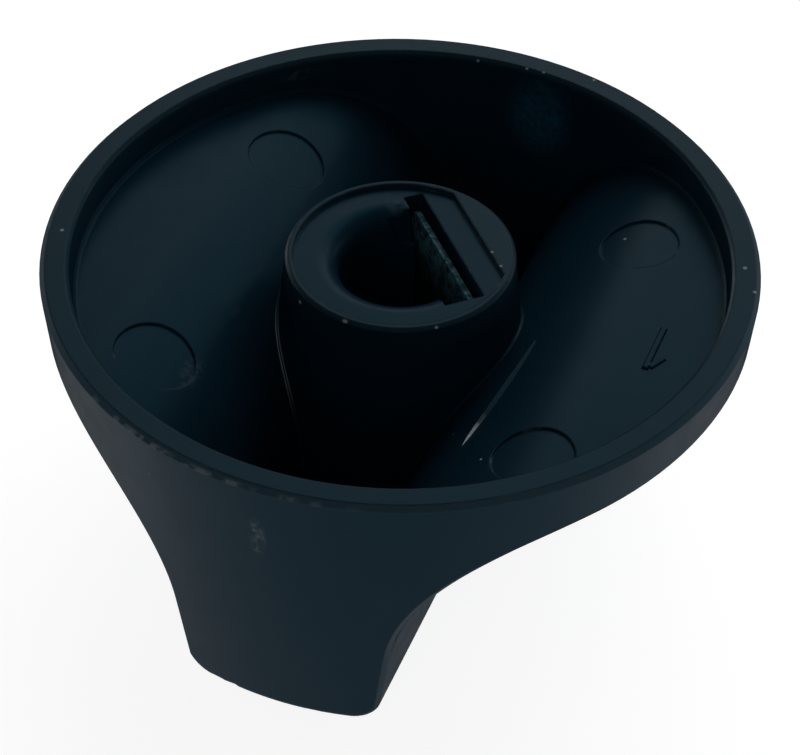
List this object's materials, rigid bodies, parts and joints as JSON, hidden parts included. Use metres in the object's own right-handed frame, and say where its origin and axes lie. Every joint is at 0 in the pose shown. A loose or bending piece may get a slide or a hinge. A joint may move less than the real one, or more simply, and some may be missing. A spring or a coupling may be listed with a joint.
{
  "type": "oven control knob",
  "caption": "Round oven control knob with a bar grip between two scoops, cored out behind, and a sprung D-shaped socket for a flatted shaft.",
  "frame": {"origin": "middle of the flat end of the grip, on the shaft's axis, which is the lowest point as the knob lies here", "axes": "+Z along the shaft's axis, out of the socket's mouth, X across the grip and Y along it"},
  "size_m": [0.047, 0.047, 0.0215],
  "materials": {
    "body": "satin blue-black, finely grained and lightly scuffed",
    "spring": "dull grey, darkened and speckled with a little rust"
  },
  "bodies": {
    "root": {"knob_body": "body", "shaft_spring": "spring"}
  },
  "joints": []
}
